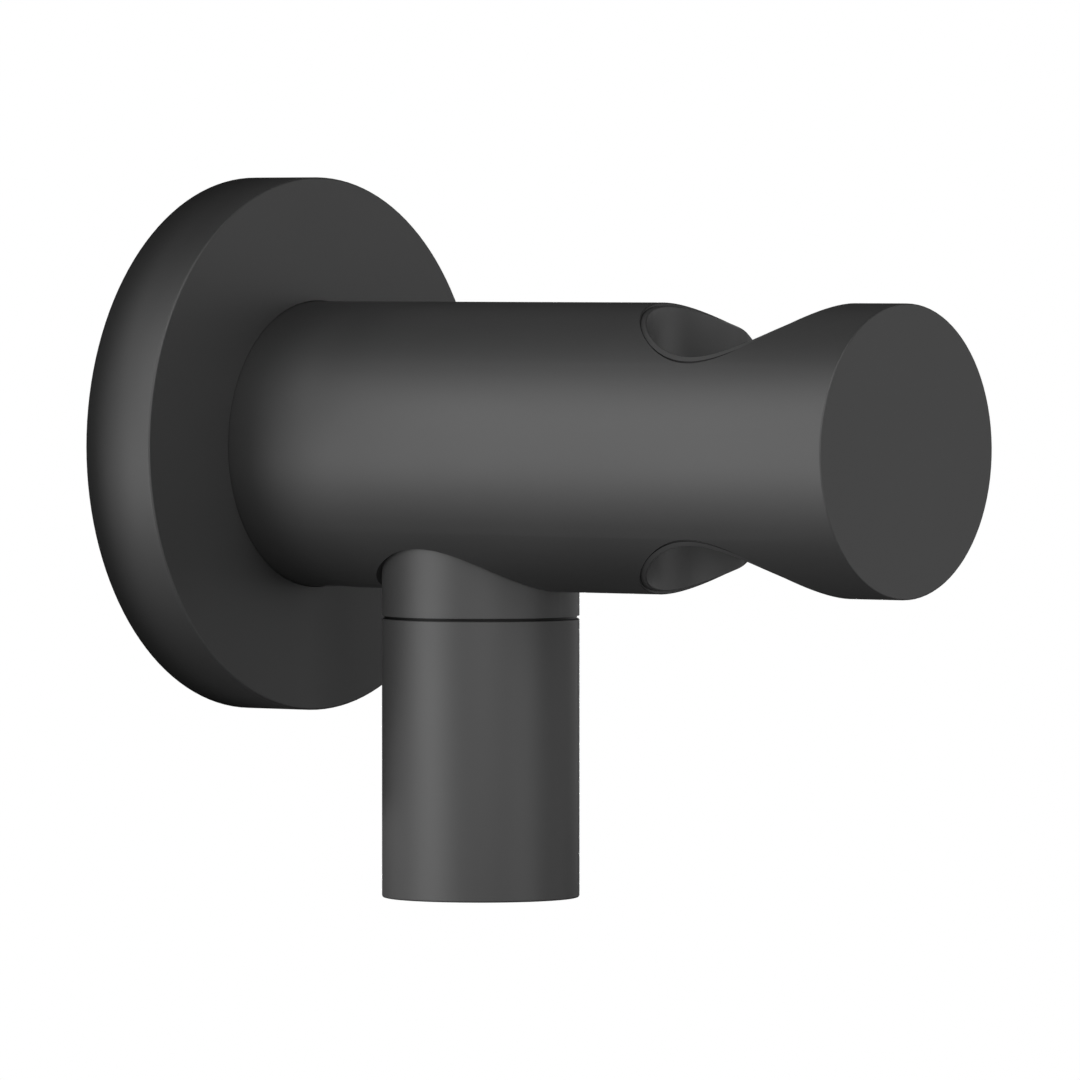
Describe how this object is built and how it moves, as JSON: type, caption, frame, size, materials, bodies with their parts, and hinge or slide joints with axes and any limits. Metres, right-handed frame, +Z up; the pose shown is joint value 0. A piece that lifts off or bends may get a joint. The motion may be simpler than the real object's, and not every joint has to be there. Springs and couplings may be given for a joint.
{
  "type": "wall outlet elbow with handset holder",
  "caption": "Round wall outlet elbow for a hand shower: flange, horizontal body with a slotted vertical handset holder, and a short outlet with a check valve and hose thread below.",
  "frame": {"origin": "where the body's axis meets the face of the wall, at the shoulder of the wall thread", "axes": "+X out of the wall along the body, +Z up, +Y to the side where the holder's slot opens"},
  "size_m": [0.112, 0.0654, 0.0875],
  "materials": {
    "matt_black": "matt electroplated black",
    "liner_plastic": "smooth matt black plastic",
    "brass": "turned brass",
    "rubber": "black rubber",
    "steel": "stainless steel",
    "valve_plastic": "natural white plastic"
  },
  "bodies": {
    "fitting": {"elbow_body": "matt_black", "wall_flange": "matt_black", "outlet_sleeve": "matt_black", "holder_liner": "liner_plastic", "wall_connector": "brass", "connector_seal": "rubber", "connector_o_ring_rear": "rubber", "connector_o_ring_front": "rubber", "inlet_strainer": "valve_plastic", "set_screw": "steel", "flange_o_ring": "rubber", "wall_gasket": "rubber", "sleeve_o_ring": "rubber", "valve_housing": "valve_plastic", "cartridge_o_ring": "rubber", "valve_spring": "steel", "valve_guide": "valve_plastic", "hose_washer": "rubber"},
    "poppet": {"valve_poppet": "valve_plastic", "poppet_seal": "rubber"}
  },
  "joints": [
    {"name": "poppet_lift", "type": "slide", "parent": "fitting", "child": "poppet", "axis": [0, 0, -1], "range_m": [0, 0.003], "stiffness_N_per_m": 60, "springref_m": -0.004, "deforming": ["valve_spring"]}
  ]
}
